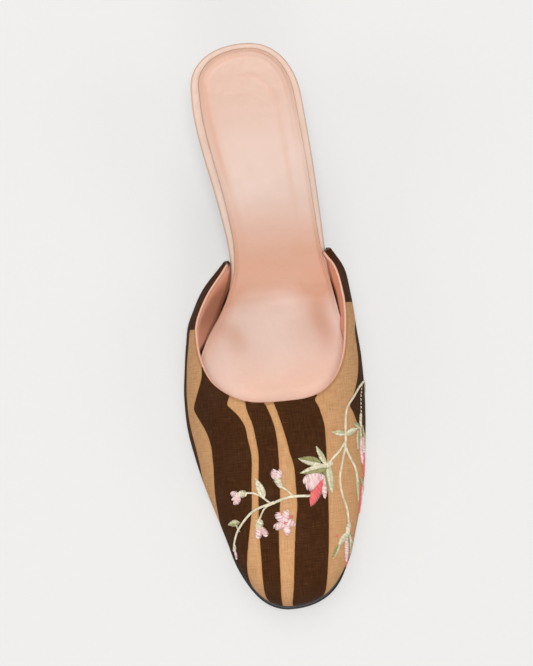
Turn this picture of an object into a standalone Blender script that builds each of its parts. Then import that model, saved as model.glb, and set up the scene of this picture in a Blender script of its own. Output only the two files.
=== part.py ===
"""A left high-heeled mule: outsole, insole, sock, upper, heel and heel tip, at real size.

World frame: metres, +Z up, standing on Z = 0 with the middle of its box over the origin.
The toe points along -Y. It is a left shoe, so its outer (lateral) side is +X.
All sizes below are in millimetres. "along" is the distance forward from the back of the seat,
"across" is positive on the lateral side, and "lift" is height above the floor.
"""

import math

import bpy

MM = 0.001

# Driving dimensions
INSOLE_LENGTH = 243.8
SEAT_ROUND = {"medial": 18.0, "lateral": 25.5}  # how far the seat's round back reaches forward
TOE_ROUND = {"medial": 28.0, "lateral": 25.5}  # how far the round of the toe reaches back, in plan
TOE_CROWN = 16.0  # the same, in profile
BLUNT = 2.2  # exponent of those rounds: 2 is an ellipse, more is blunter
SHOULDER = 2.3  # exponent of the upper's section: 2 is an ellipse, more is fuller
TUCK_HEIGHT = {"wing": 6.0, "vamp": 15.0}  # below this height the upper's wall draws in to the sole
LEAN_FOOT = 3.4  # the wings lean in above this height
LEAN_REACH = {"tip": 2.6, "side": 8.0}  # the lean grows over this much height
RIDGE_ACROSS = -2.0  # the ridge of the vamp runs a little to the medial side
GAP = 0.3  # between pieces that touch
WALL = 1.8  # upper: canvas, stiffener and lining
OUTSOLE_THICK = 3.0
INSOLE_THICK = 3.0
SOCK_THICK = 1.2
SOCK_START, SOCK_FADE = 82.0, 108.0  # the rand narrows between these, under the wings
SOCK_MARGIN = {"seat": 2.5, "forepart": 1.3}  # insole that shows round the sock
PAD_RISE = 1.0  # heel pad under the sock
PAD_START, PAD_END = 10.0, 64.0
PAD_MARGIN = 4.8  # sock that shows round the pad
PAD_EDGE = 3.4  # width of the pad's soft edge
SEAT_CUP = 1.0  # the seat's edges stand this much higher than its middle
EDGE_ROUND = 0.7
BREAST = 47.0  # the heel ends here and the outsole starts
WELT = {"waist": -1.6, "ball": 2.6, "toe": 3.9}  # outsole edge outside the insole's edge
HEEL_INSET = 0.9  # heel's top edge inside the insole's edge
TIP_HEIGHT = 5.5

# The bottom of the last, which is the insole's outline: half widths each side of the axis.
# Its round ends are added by half_width().
BOTTOM = {
    "along": (0, 12, 24, 36, 48, 60, 72, 84, 94, 104, 114, 124, 136, 150, 162, 176, 190, 205, 220, 234, 247),
    "medial": (
        23.9, 24.0, 24.1, 23.0, 20.8, 18.2, 15.9, 14.0, 13.5, 15.4, 20.0,
        26.6, 32.4, 35.7, 35.9, 33.8, 30.7, 26.2, 21.9, 19.1, 18.2,
    ),
    "lateral": (
        21.3, 21.8, 22.6, 23.8, 25.0, 26.1, 27.1, 28.0, 28.9, 30.3, 32.3,
        34.4, 36.3, 37.4, 37.3, 36.2, 34.5, 31.0, 26.8, 24.0, 24.7,
    ),
}

# Underside of the insole in profile: seat, shank, ball and toe spring.
PROFILE = {
    "along": (0, 12, 24, 36, 48, 60, 72, 84, 96, 108, 120, 132, 144, 154, 162, 188, 202, 216, 231, 248),
    "lift": (
        62.0, 60.8, 59.0, 56.2, 51.8, 45.8, 38.6, 31.2, 24.0, 17.4,
        11.8, 7.6, 4.9, 3.7, 3.3, 3.3, 3.8, 5.0, 6.8, 9.4,
    ),
}

# Body of the last inside the upper: its greatest half widths, and its ridge over the insole.
BODY = {
    "along": (88, 96, 105, 115, 125, 136, 150, 162, 176, 190, 205, 220, 234, 247),
    "medial": (11.6, 20.1, 27.6, 32.8, 35.0, 36.6, 38.0, 37.9, 35.8, 32.6, 28.2, 23.8, 20.5, 19.0),
    "lateral": (28.2, 33.8, 36.3, 37.6, 38.4, 39.4, 39.8, 39.4, 38.3, 36.8, 33.4, 28.9, 25.3, 25.1),
    "ridge": (29.0, 34.5, 40.0, 45.4, 49.2, 51.2, 49.6, 45.0, 38.0, 31.8, 26.6, 22.0, 18.4, 16.0),
}

# Topline of the upper, from the end of each wing to the middle of the throat.
# "rise" is how far round the section it lies: 0 degrees at the sole, 90 on the ridge.
COLLAR = {
    "rise": (0, 7, 14, 20, 25, 29, 34, 41, 50, 60, 70, 80, 90),
    "medial": (90.2, 91.6, 95.0, 101.0, 109.5, 118.5, 127.0, 134.5, 141.5, 146.5, 150.2, 152.4, 153.2),
    "lateral": (88.6, 90.0, 93.5, 99.8, 108.8, 118.2, 127.5, 137.0, 145.0, 150.2, 152.6, 153.2, 153.2),
}
WING_LEAN = {  # how far the walls of the wings draw in as they rise to the topline
    "along": (88, 92, 96, 100, 104, 108, 111, 115, 119),
    "medial": (1.2, 1.9, 2.5, 2.2, 1.8, 1.4, 1.0, 0.5, 0.1),
    "lateral": (2.8, 3.4, 2.5, 1.8, 1.3, 0.9, 0.5, 0.3, 0.2),
}

# Heel from the top of its tip up to the seat; "hollow" is how far the breast curves in.
HEEL = {
    "lift": (5.8, 14.0, 23.0, 32.0, 40.0, 47.0, 52.5, 56.5, 60.0),
    "back": (15.0, 14.4, 13.0, 10.6, 7.6, 4.8, 2.8, 1.5, 0.9),
    "front": (27.0, 27.0, 27.8, 30.0, 33.6, 38.0, 42.2, 45.4, 46.8),
    "half": (5.8, 5.9, 6.8, 8.9, 12.0, 15.5, 18.6, 21.0, 22.3),
    "hollow": (0.3, 0.6, 1.0, 1.8, 2.4, 2.4, 1.6, 0.6, 0.0),
}
HEEL_LEVEL = 30.0  # above this height the heel's rings tilt towards the slope of the seat

UPPER_COLUMNS, UPPER_ROWS = 48, 24
PLATE_ROWS, PLATE_COLUMNS = 34, 8
HEEL_RINGS = 18
SHARP_ANGLE = math.radians(38)


def smooth(table, column, at):
    """A table's column at a value of its first column, on a cubic that never overshoots a row."""
    keys, values = next(iter(table.values())), table[column]
    last = len(keys) - 1
    at = min(max(at, keys[0]), keys[last])
    i = next(k for k in range(last) if at <= keys[k + 1])

    def slope(k):
        before, after = max(k - 1, 0), min(k + 1, last)
        if (values[k] - values[before]) * (values[after] - values[k]) < 1e-9 and 0 < k < last:
            return 0.0
        return (values[after] - values[before]) / (keys[after] - keys[before])

    step = keys[i + 1] - keys[i]
    u = (at - keys[i]) / step
    start = (1 + 2 * u) * (1 - u) ** 2 * values[i] + u * (1 - u) ** 2 * step * slope(i)
    end = u * u * (3 - 2 * u) * values[i + 1] - u * u * (1 - u) * step * slope(i + 1)
    return start + end


def mix(a, b, share):
    return a + (b - a) * share


def ease(share):
    share = min(max(share, 0.0), 1.0)
    return share * share * (3 - 2 * share)


def round_end(distance, reach):
    """Share of full width at a distance from the tip of a round end that reaches this far."""
    short = 1 - min(max(distance / reach, 0.0), 1.0)
    return (1 - short**BLUNT) ** (1 / BLUNT)


def half_width(side, along, swell):
    """Half width of the bottom, on the outline that lies swell outside the insole's."""
    back = round_end(along + swell, SEAT_ROUND[side] + swell)
    front = round_end(INSOLE_LENGTH + swell - along, TOE_ROUND[side] + swell)
    return (smooth(BOTTOM, side, along) + swell) * back * front


def sole_level(along, across, height):
    """Lift of the surface that lies this height over the insole's underside, square to it."""
    step = 0.5
    climb = smooth(PROFILE, "lift", along - step) - smooth(PROFILE, "lift", along + step)
    square = math.hypot(1, climb / (2 * step))
    cup = SEAT_CUP * (across / BOTTOM["medial"][0]) ** 2 * (1 - ease((along - 30) / 50))
    return smooth(PROFILE, "lift", along) + cup + height * square


def body_point(along, rise, side, swell):
    """(across, lift) on the surface that lies swell outside the last, at one station."""
    to_toe = INSOLE_LENGTH + swell - along
    plan = round_end(to_toe, TOE_ROUND[side] + swell)
    widest = (smooth(BODY, side, along) + swell) * plan
    foot = (smooth(BOTTOM, side, along) + swell) * plan
    height = (smooth(BODY, "ridge", along) + swell) * round_end(to_toe, TOE_CROWN + swell)
    turn = math.radians(rise)
    out = widest * max(math.cos(turn), 0.0) ** (2 / SHOULDER)
    up = height * math.sin(turn) ** (2 / SHOULDER)
    tuck_height = mix(TUCK_HEIGHT["wing"], TUCK_HEIGHT["vamp"], ease((along - 98) / 27))
    tuck_height = min(tuck_height, 0.5 * height)
    tuck = (widest - foot) * max(0.0, 1 - up / max(tuck_height, 1e-6)) ** 2
    lean_reach = mix(LEAN_REACH["tip"], LEAN_REACH["side"], ease((along - 90) / 12))
    drawn_in = smooth(WING_LEAN, side, along) * ease((up - LEAN_FOOT) / lean_reach)
    lean = RIDGE_ACROSS * plan * math.sin(turn) ** 2
    sign = 1 if side == "lateral" else -1
    return sign * (out - tuck - drawn_in) + lean, smooth(PROFILE, "lift", along) + up


def place(along, across, lift):
    return (across * MM, -along * MM, lift * MM)


def new_object(name, points, faces, colour, roughness):
    mesh = bpy.data.meshes.new(name)
    mesh.from_pydata(points, [], faces)
    mesh.shade_smooth()
    mesh.set_sharp_from_angle(angle=SHARP_ANGLE)
    material = bpy.data.materials.new(name)
    material.use_nodes = True
    surface = material.node_tree.nodes["Principled BSDF"]
    surface.inputs["Base Color"].default_value = (*colour, 1)
    surface.inputs["Roughness"].default_value = roughness
    surface.inputs["Metallic"].default_value = 0
    mesh.materials.append(material)
    made = bpy.data.objects.new(name, mesh)
    bpy.context.scene.collection.objects.link(made)
    return made


def plate_rows(first, last, round_back):
    """Stations along a plate, close together at its round ends and just short of their tips."""
    rows = []
    for k in range(PLATE_ROWS + 1):
        share = mix(0.4 if round_back else 0, PLATE_ROWS - 0.4, k / PLATE_ROWS) / PLATE_ROWS
        if round_back:
            rows.append(mix(first, last, (1 - math.cos(math.pi * share)) / 2))
        else:
            rows.append(mix(first, last, math.sin(math.pi / 2 * share)))
    return rows


def plate(name, outline, low, high, span, round_back, colour, roughness):
    """A thin plate with rounded edges.

    outline(side, along, swell) gives half widths, low and high give the lift of its two faces,
    and span is where it starts and ends along the shoe.
    """
    points, faces = [], []

    def boundary(grid):
        """The outer points of a grid, in order round it."""
        right = [row[-1] for row in grid]
        left = [row[0] for row in grid]
        return grid[0] + right[1:-1] + grid[-1][::-1] + left[-2:0:-1]

    def layer(swell, height, whole):
        """One level of the plate: a whole face, or only its boundary."""
        start = span[0] - swell
        end = span[1] + swell
        grid = []
        for r, along in enumerate(plate_rows(start, end, round_back)):
            row = []
            for c in range(PLATE_COLUMNS + 1):
                inner = 0 < r < PLATE_ROWS and 0 < c < PLATE_COLUMNS
                if inner and not whole:
                    row.append(None)
                    continue
                left, right = outline("medial", along, swell), outline("lateral", along, swell)
                across = mix(-left, right, c / PLATE_COLUMNS)
                lift = mix(low(along, across), high(along, across), height)
                row.append(len(points))
                points.append(place(along, across, lift))
            grid.append(row)
        return grid

    def face_grid(grid, upward):
        for lower, upper in zip(grid, grid[1:]):
            for c in range(PLATE_COLUMNS):
                quad = [lower[c], upper[c], upper[c + 1], lower[c + 1]]
                faces.append(quad if upward else quad[::-1])

    bottom = layer(-EDGE_ROUND, 0.0, True)
    low_belt = layer(0.0, 0.3, False)
    high_belt = layer(0.0, 0.7, False)
    top = layer(-EDGE_ROUND, 1.0, True)
    face_grid(bottom, False)
    face_grid(top, True)
    loops = [boundary(grid) for grid in (bottom, low_belt, high_belt, top)]
    for under, over in zip(loops, loops[1:]):
        for i in range(len(under)):
            j = (i + 1) % len(under)
            faces.append([under[i], over[i], over[j], under[j]])
    return new_object(name, points, faces, colour, roughness)


def make_outsole():
    def outline(side, along, swell):
        welt = mix(WELT["waist"], WELT["ball"], ease((along - 90) / 24))
        welt = mix(welt, WELT["toe"], ease((along - 205) / 25))
        return half_width(side, along, welt + swell)

    return plate(
        "outsole",
        outline,
        lambda along, across: sole_level(along, across, -GAP - OUTSOLE_THICK),
        lambda along, across: sole_level(along, across, -GAP),
        (BREAST, INSOLE_LENGTH + WELT["toe"]),
        False,
        (0.02, 0.018, 0.017),
        0.45,
    )


def make_insole():
    return plate(
        "insole",
        half_width,
        lambda along, across: sole_level(along, across, 0),
        lambda along, across: sole_level(along, across, INSOLE_THICK),
        (0, INSOLE_LENGTH),
        True,
        (0.78, 0.55, 0.46),
        0.4,
    )


def sock_outline(side, along, swell):
    fade = ease((along - SOCK_START) / (SOCK_FADE - SOCK_START))
    margin = mix(SOCK_MARGIN["seat"], SOCK_MARGIN["forepart"], fade)
    return half_width(side, along, swell - margin)


def pad_share(along, across):
    """1 over the heel pad, falling to 0 through its soft edge."""
    side = "lateral" if across > 0 else "medial"
    inside = sock_outline(side, along, 0) - abs(across)
    sides = ease((inside - PAD_MARGIN) / PAD_EDGE + 0.5)
    back = ease((along - PAD_START) / PAD_EDGE + 0.5)
    return sides * back * ease((PAD_END - along) / (4 * PAD_EDGE))


def make_sock():
    base = INSOLE_THICK + GAP
    return plate(
        "sock",
        sock_outline,
        lambda along, across: sole_level(along, across, base),
        lambda along, across: sole_level(
            along, across, base + SOCK_THICK + PAD_RISE * pad_share(along, across)
        ),
        (SOCK_MARGIN["seat"], INSOLE_LENGTH - SOCK_MARGIN["forepart"]),
        True,
        (0.82, 0.6, 0.5),
        0.38,
    )


def make_upper():
    """One hollow shell, open at the collar and underneath: an outer and an inner skin and their rims."""
    columns = []
    steps = len(COLLAR["rise"]) - 1
    for c in range(UPPER_COLUMNS + 1):
        share = 1 - abs(2 * c / UPPER_COLUMNS - 1)
        side = "lateral" if 2 * c < UPPER_COLUMNS else "medial"
        k = min(int(share * steps), steps - 1)
        rise = mix(COLLAR["rise"][k], COLLAR["rise"][k + 1], share * steps - k)
        columns.append((side, rise, smooth(COLLAR, side, rise)))

    points, faces = [], []

    def skin(swell):
        """Rows of points from the topline to the toe, and the point where they meet."""
        tip = INSOLE_LENGTH + swell
        grid = []
        for r in range(UPPER_ROWS + 1):
            share = math.sin(math.pi / 2 * r / (UPPER_ROWS + 1))
            row = []
            for side, rise, start in columns:
                along = mix(start, tip, share)
                across, lift = body_point(along, rise, side, swell)
                row.append(len(points))
                points.append(place(along, across, lift))
            grid.append(row)
        points.append(place(tip, 0, smooth(PROFILE, "lift", tip)))
        return grid, len(points) - 1

    outer, outer_tip = skin(GAP + WALL)
    inner, inner_tip = skin(GAP)
    for grid, tip, outward in ((outer, outer_tip, True), (inner, inner_tip, False)):
        for back, front in zip(grid, grid[1:]):
            for c in range(UPPER_COLUMNS):
                quad = [back[c], back[c + 1], front[c + 1], front[c]]
                faces.append(quad if outward else quad[::-1])
        for c in range(UPPER_COLUMNS):
            fan = [grid[-1][c], grid[-1][c + 1], tip]
            faces.append(fan if outward else fan[::-1])
    for c in range(UPPER_COLUMNS):
        faces.append([outer[0][c], inner[0][c], inner[0][c + 1], outer[0][c + 1]])
    for c, forward in ((0, True), (UPPER_COLUMNS, False)):
        outside = [row[c] for row in outer] + [outer_tip]
        inside = [row[c] for row in inner] + [inner_tip]
        for r in range(UPPER_ROWS + 1):
            quad = [outside[r], outside[r + 1], inside[r + 1], inside[r]]
            faces.append(quad if forward else quad[::-1])
    return new_object("upper", points, faces, (0.47, 0.29, 0.15), 0.85)


def heel_ring(lift, trim):
    """One level of the heel as (along, across) pairs, going round from the middle of its back."""
    share = (lift - HEEL["lift"][0]) / (HEEL["lift"][-1] - HEEL["lift"][0])
    back, front = smooth(HEEL, "back", lift) + trim, smooth(HEEL, "front", lift) - trim
    half, hollow = smooth(HEEL, "half", lift) - trim, smooth(HEEL, "hollow", lift)
    seat_half = {side: half_width(side, HEEL["front"][-1] / 2, -HEEL_INSET) for side in ("medial", "lateral")}
    stops = [0.5 - 0.5 * math.cos(math.pi * k / 10) for k in range(11)]

    def reach(side, stop):
        """Half width at this share of the ring's length: a D at the tip, the seat's outline at the top."""
        tip = round_end(stop, 0.5) * mix(1, 0.9, ease((stop - 0.5) / 0.5))
        along = mix(HEEL["back"][-1], HEEL["front"][-1], stop)
        seat = half_width(side, along, -HEEL_INSET)
        top = seat / (seat_half["medial"] + seat_half["lateral"]) * 2
        return half * mix(tip, top, ease(share))

    def point(side, stop):
        sign = 1 if side == "lateral" else -1
        return mix(back, front, stop), sign * reach(side, stop)

    lateral = [point("lateral", stop) for stop in stops]
    medial = [point("medial", stop) for stop in stops[1:]]
    breast = []
    for k in range(1, 6):
        across = mix(lateral[-1][1], medial[-1][1], k / 6)
        breast.append((front - hollow * math.sin(math.pi * k / 6), across))
    return lateral + breast + medial[::-1]


def loft(name, rings, top_fill, colour, roughness):
    """A solid through rings of points, with a flat bottom and top_fill's rings closing its top."""
    points = [p for ring in rings + top_fill[:-1] for p in ring]
    count = len(rings[0])
    total = len(rings) + len(top_fill) - 1
    faces = [list(range(count))]
    for k in range(total - 1):
        for i in range(count):
            j = (i + 1) % count
            faces.append([k * count + i, (k + 1) * count + i, (k + 1) * count + j, k * count + j])
    centre = len(points)
    points.append(top_fill[-1][0])
    start = (total - 1) * count
    for i in range(count):
        faces.append([start + i, centre, start + (i + 1) % count])
    return new_object(name, points, faces, colour, roughness)


def make_heel():
    """The heel block; its rings tilt more and more, until the last one lies along the seat."""
    middle = HEEL["front"][-1] / 2
    seat_lift = sole_level(middle, 0, -GAP)
    rings = []
    for k in range(HEEL_RINGS + 1):
        lift = mix(HEEL["lift"][0], HEEL["lift"][-1], k / HEEL_RINGS)
        height = mix(HEEL["lift"][0], seat_lift, k / HEEL_RINGS)
        tilt = ease((lift - HEEL_LEVEL) / (HEEL["lift"][-1] - HEEL_LEVEL))
        ring = []
        for along, across in heel_ring(lift, 0):
            slant = sole_level(along, across, -GAP) - seat_lift
            ring.append(place(along, across, height + tilt * slant))
        rings.append(ring)
    fill = []
    for share in (0.7, 0.4, 0):
        shrunk = []
        for along, across in heel_ring(HEEL["lift"][-1], 0):
            along, across = mix(middle, along, share), across * share
            shrunk.append(place(along, across, sole_level(along, across, -GAP)))
        fill.append(shrunk)
    return loft("heel", rings, fill, (0.075, 0.045, 0.027), 0.8)


def make_heel_tip():
    low = HEEL["lift"][0]
    rings = []
    for lift, trim in ((0, 0.6), (0.5, 0.2), (TIP_HEIGHT, 0.0)):
        rings.append([place(along, across, lift) for along, across in heel_ring(low, trim)])
    middle = (HEEL["back"][0] + HEEL["front"][0]) / 2
    return loft("heel_tip", rings, [[place(middle, 0, TIP_HEIGHT)]], (0.02, 0.018, 0.017), 0.6)


def stand_on_origin(objects):
    """Moves the pieces together, so that the box round them stands centred on the origin."""
    points = [v.co for o in objects for v in o.data.vertices]
    low = [min(p[i] for p in points) for i in range(3)]
    high = [max(p[i] for p in points) for i in range(3)]
    shift = ((low[0] + high[0]) / 2, (low[1] + high[1]) / 2, low[2])
    for o in objects:
        for v in o.data.vertices:
            v.co = [v.co[i] - shift[i] for i in range(3)]


def main():
    for old in list(bpy.data.objects):
        bpy.data.objects.remove(old)
    made = [make_outsole(), make_insole(), make_sock(), make_upper(), make_heel(), make_heel_tip()]
    stand_on_origin(made)


main()
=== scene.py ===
"""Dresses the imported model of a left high-heeled mule in printed and embroidered canvas.

The frame is the model's own: metres, +Z up, toe towards -Y, outer (lateral) side towards +X. As in the part's
source, sizes here are in millimetres. "along" runs forward from the back of the seat, "across" is positive on
the lateral side and "lift" is height above the floor. On the upper, "rise" runs from 0 degrees at the sole to
90 on the ridge of the vamp, and "around" is the distance from that ridge, measured round the section and
positive on the lateral side. The print and the stitches are placed by (along, around).
"""

import math
import random

import bpy
import numpy as np
from mathutils import Matrix, Vector

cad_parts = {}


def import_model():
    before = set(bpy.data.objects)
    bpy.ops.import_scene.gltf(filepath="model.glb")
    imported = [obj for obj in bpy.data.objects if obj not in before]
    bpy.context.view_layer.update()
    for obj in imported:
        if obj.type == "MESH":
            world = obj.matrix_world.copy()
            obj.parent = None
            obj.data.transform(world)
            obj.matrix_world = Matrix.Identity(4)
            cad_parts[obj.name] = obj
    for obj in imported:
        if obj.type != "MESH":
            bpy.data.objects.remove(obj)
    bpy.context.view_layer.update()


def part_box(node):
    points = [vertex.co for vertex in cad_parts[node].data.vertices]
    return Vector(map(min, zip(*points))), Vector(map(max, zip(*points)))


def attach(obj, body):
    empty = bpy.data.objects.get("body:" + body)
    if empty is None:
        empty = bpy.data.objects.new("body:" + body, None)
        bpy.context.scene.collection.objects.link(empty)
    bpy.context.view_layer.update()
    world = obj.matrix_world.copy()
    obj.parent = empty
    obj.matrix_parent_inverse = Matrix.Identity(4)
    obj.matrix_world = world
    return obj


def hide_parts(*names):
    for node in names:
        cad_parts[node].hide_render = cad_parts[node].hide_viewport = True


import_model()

MM = 0.001
HEEL_TIP_BACK = 15.0  # the heel tip's back lies this far along
ORIGIN_X = (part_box("heel_tip")[0].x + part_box("heel_tip")[1].x) / 2
ORIGIN_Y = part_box("heel_tip")[1].y + HEEL_TIP_BACK * MM

# The last and its parts, as in the part's source
INSOLE_LENGTH = 243.8
SEAT_ROUND = {"medial": 18.0, "lateral": 25.5}
TOE_ROUND = {"medial": 28.0, "lateral": 25.5}
TOE_CROWN = 16.0
BLUNT = 2.2
SHOULDER = 2.3
TUCK_HEIGHT = {"wing": 6.0, "vamp": 15.0}
LEAN_FOOT = 3.4
LEAN_REACH = {"tip": 2.6, "side": 8.0}
RIDGE_ACROSS = -2.0
GAP = 0.3
WALL = 1.8
SKIN = GAP + WALL
OUTSOLE_THICK = 3.0
INSOLE_THICK = 3.0
SOCK_THICK = 1.2
SEAT_CUP = 1.0
BREAST = 47.0
WELT = {"waist": -1.6, "ball": 2.6, "toe": 3.9}
HEEL_INSET = 0.9
TIP_HEIGHT = 5.5
HEEL_LEVEL = 30.0
BOTTOM = {
    "along": (0, 12, 24, 36, 48, 60, 72, 84, 94, 104, 114, 124, 136, 150, 162, 176, 190, 205, 220, 234, 247),
    "medial": (
        23.9, 24.0, 24.1, 23.0, 20.8, 18.2, 15.9, 14.0, 13.5, 15.4, 20.0,
        26.6, 32.4, 35.7, 35.9, 33.8, 30.7, 26.2, 21.9, 19.1, 18.2,
    ),
    "lateral": (
        21.3, 21.8, 22.6, 23.8, 25.0, 26.1, 27.1, 28.0, 28.9, 30.3, 32.3,
        34.4, 36.3, 37.4, 37.3, 36.2, 34.5, 31.0, 26.8, 24.0, 24.7,
    ),
}
PROFILE = {
    "along": (0, 12, 24, 36, 48, 60, 72, 84, 96, 108, 120, 132, 144, 154, 162, 188, 202, 216, 231, 248),
    "lift": (
        62.0, 60.8, 59.0, 56.2, 51.8, 45.8, 38.6, 31.2, 24.0, 17.4,
        11.8, 7.6, 4.9, 3.7, 3.3, 3.3, 3.8, 5.0, 6.8, 9.4,
    ),
}
BODY = {
    "along": (88, 96, 105, 115, 125, 136, 150, 162, 176, 190, 205, 220, 234, 247),
    "medial": (11.6, 20.1, 27.6, 32.8, 35.0, 36.6, 38.0, 37.9, 35.8, 32.6, 28.2, 23.8, 20.5, 19.0),
    "lateral": (28.2, 33.8, 36.3, 37.6, 38.4, 39.4, 39.8, 39.4, 38.3, 36.8, 33.4, 28.9, 25.3, 25.1),
    "ridge": (29.0, 34.5, 40.0, 45.4, 49.2, 51.2, 49.6, 45.0, 38.0, 31.8, 26.6, 22.0, 18.4, 16.0),
}
COLLAR = {
    "rise": (0, 7, 14, 20, 25, 29, 34, 41, 50, 60, 70, 80, 90),
    "medial": (90.2, 91.6, 95.0, 101.0, 109.5, 118.5, 127.0, 134.5, 141.5, 146.5, 150.2, 152.4, 153.2),
    "lateral": (88.6, 90.0, 93.5, 99.8, 108.8, 118.2, 127.5, 137.0, 145.0, 150.2, 152.6, 153.2, 153.2),
}
WING_LEAN = {
    "along": (88, 92, 96, 100, 104, 108, 111, 115, 119),
    "medial": (1.2, 1.9, 2.5, 2.2, 1.8, 1.4, 1.0, 0.5, 0.1),
    "lateral": (2.8, 3.4, 2.5, 1.8, 1.3, 0.9, 0.5, 0.3, 0.2),
}
HEEL = {
    "lift": (5.8, 14.0, 23.0, 32.0, 40.0, 47.0, 52.5, 56.5, 60.0),
    "back": (15.0, 14.4, 13.0, 10.6, 7.6, 4.8, 2.8, 1.5, 0.9),
    "front": (27.0, 27.0, 27.8, 30.0, 33.6, 38.0, 42.2, 45.4, 46.8),
    "half": (5.8, 5.9, 6.8, 8.9, 12.0, 15.5, 18.6, 21.0, 22.3),
    "hollow": (0.3, 0.6, 1.0, 1.8, 2.4, 2.4, 1.6, 0.6, 0.0),
}

# Finish of the edges
CANVAS_FLOOR = {"wing": 1.55, "throat": 0.95}  # the canvas reaches in to this swell; the lining lies under it
PLY_GAP = 0.05  # between the canvas and the lining
SEAM = 0.06  # between parts that are glued together
LINING_OVERHANG = 0.25  # lining that shows past the canvas at the topline
CREVICE = {"medial": 0.5, "lateral": 0.3}  # room beside the insole where a wing is open
SKIVE = 0.95  # the sock's edge is pared down by this much
INSOLE_MARGIN = {  # insole that shows round the sock
    "along": (2.3, 10, 24, 45, 62, 80, 92, 104, 118, 134, 244),
    "medial": (2.2, 2.8, 3.4, 3.4, 3.2, 2.6, 1.7, 0.3, -0.4, 0.3, 0.5),
    "lateral": (2.2, 2.5, 2.9, 2.8, 2.6, 2.2, 1.6, 0.4, 0.3, 0.3, 0.5),
}

# The print. A border is one or more runs of (along values, around values). Two runs meet in a corner.
BORDERS = {
    "first_medial": (
        ((130, 138, 143, 153.5), (-34.5, -34.5, -36.5, -44)),
        ((153.5, 162, 169, 177, 192, 203, 210, 220), (-44, -35, -31.5, -31, -33, -35, -38, -42)),
    ),
    "first_lateral": (
        ((140, 148, 152.5), (-16, -18.5, -20.5)),
        (
            (152.5, 157, 162, 168, 176, 188, 200, 216, 229, 247),
            (-20.5, -16, -13, -12, -11, -12, -13, -16.5, -20, -25),
        ),
    ),
    "second_medial": (
        ((148, 155, 162, 169, 176, 188, 208, 225, 247), (-12, -11.5, -9.5, -8.5, -8, -9, -10.5, -11, -13)),
    ),
    "second_lateral": (
        ((148, 157, 164, 174, 195, 212, 228, 247), (-5.5, -2, 0, 1, 0, -2, -3, -4.5)),
    ),
    "third_medial": (
        ((148, 158, 168, 176, 184, 197, 212, 235, 247), (-1, 2, 4.5, 6, 7.5, 7.5, 5.5, 2.5, 0)),
    ),
    "third_lateral": (
        ((148, 154), (22.5, 19)),
        ((154, 158, 168, 185, 214, 247), (19, 21, 23, 22.5, 21, 17)),
    ),
    "lateral_wall": (
        ((90, 113, 120, 127, 136, 142, 148, 158.5), (72, 67, 62, 55, 55, 53, 49, 39)),
        ((158.5, 161.5, 167, 170, 176, 184), (39, 41.5, 45, 51, 62, 72)),
    ),
    "medial_wall": (
        (
            (90, 115, 126, 137, 144, 154, 162, 170, 180, 190, 200, 247),
            (-46, -47, -50, -53.5, -53.5, -52.5, -49.5, -46, -44, -48, -60, -75),
        ),
    ),
}
WING_BROWN = {"medial": 119.0, "lateral": 113.5}  # the wings are dark up to here
INSIDE_LIFT = 10.0  # lift of a line inside the upper, from which outward is told


def curve(keys, values, at):
    """The values at places between their keys, on a cubic that is level at every peak and dip."""
    keys, values = np.array(keys, float), np.array(values, float)
    run, change = np.diff(keys), np.diff(values)
    slope = np.empty_like(values)
    slope[1:-1] = (values[2:] - values[:-2]) / (keys[2:] - keys[:-2])
    slope[1:-1][change[:-1] * change[1:] < 1e-9] = 0
    slope[0], slope[-1] = change[0] / run[0], change[-1] / run[-1]
    at = np.clip(at, keys[0], keys[-1])
    i = np.clip(np.searchsorted(keys, at, side="left") - 1, 0, len(run) - 1)
    u = (at - keys[i]) / run[i]
    start = (1 + 2 * u) * (1 - u) ** 2 * values[i] + u * (1 - u) ** 2 * run[i] * slope[i]
    end = u * u * (3 - 2 * u) * values[i + 1] - u * u * (1 - u) * run[i] * slope[i + 1]
    return start + end


def smooth(table, column, at):
    """A table's column at values of its first column."""
    return curve(next(iter(table.values())), table[column], at)


def mix(a, b, share):
    return a + (b - a) * share


def ease(share):
    share = np.clip(share, 0.0, 1.0)
    return share * share * (3 - 2 * share)


def ramp(value, off, on):
    """0 up to off and 1 past on, smooth between them. It falls where on is the smaller."""
    return ease((value - off) / (on - off))


def bell(value, middle, reach):
    """1 in the middle, falling smoothly to 0 at this reach on both sides."""
    return 1 - ease(abs(value - middle) / reach)


def round_end(distance, reach):
    """Share of full width at a distance from the tip of a round end that reaches this far."""
    short = 1 - np.clip(distance / reach, 0, 1)
    return (1 - short**BLUNT) ** (1 / BLUNT)


def by_side(lateral, value):
    """value(side) for each point, by the side it lies on."""
    return np.where(lateral, value("lateral"), value("medial"))


def sided(table, lateral, at):
    """A table at these values, from the column for the side that each point lies on."""
    return by_side(lateral, lambda side: smooth(table, side, at))


def half_width(side, along, swell):
    """Half width of the bottom, on the outline that lies swell outside the insole's."""
    back = round_end(along + swell, SEAT_ROUND[side] + swell)
    front = round_end(INSOLE_LENGTH + swell - along, TOE_ROUND[side] + swell)
    return (smooth(BOTTOM, side, along) + swell) * back * front


def underside(along):
    """Lift of the insole's underside in the middle."""
    return smooth(PROFILE, "lift", along)


def sole_level(along, across, height):
    """Lift of the surface that lies this height over the insole's underside, square to it."""
    step = 0.5
    climb = underside(along - step) - underside(along + step)
    square = np.hypot(1, climb / (2 * step))
    cup = SEAT_CUP * (across / BOTTOM["medial"][0]) ** 2 * ramp(along, 80, 30)
    return underside(along) + cup + height * square


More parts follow.
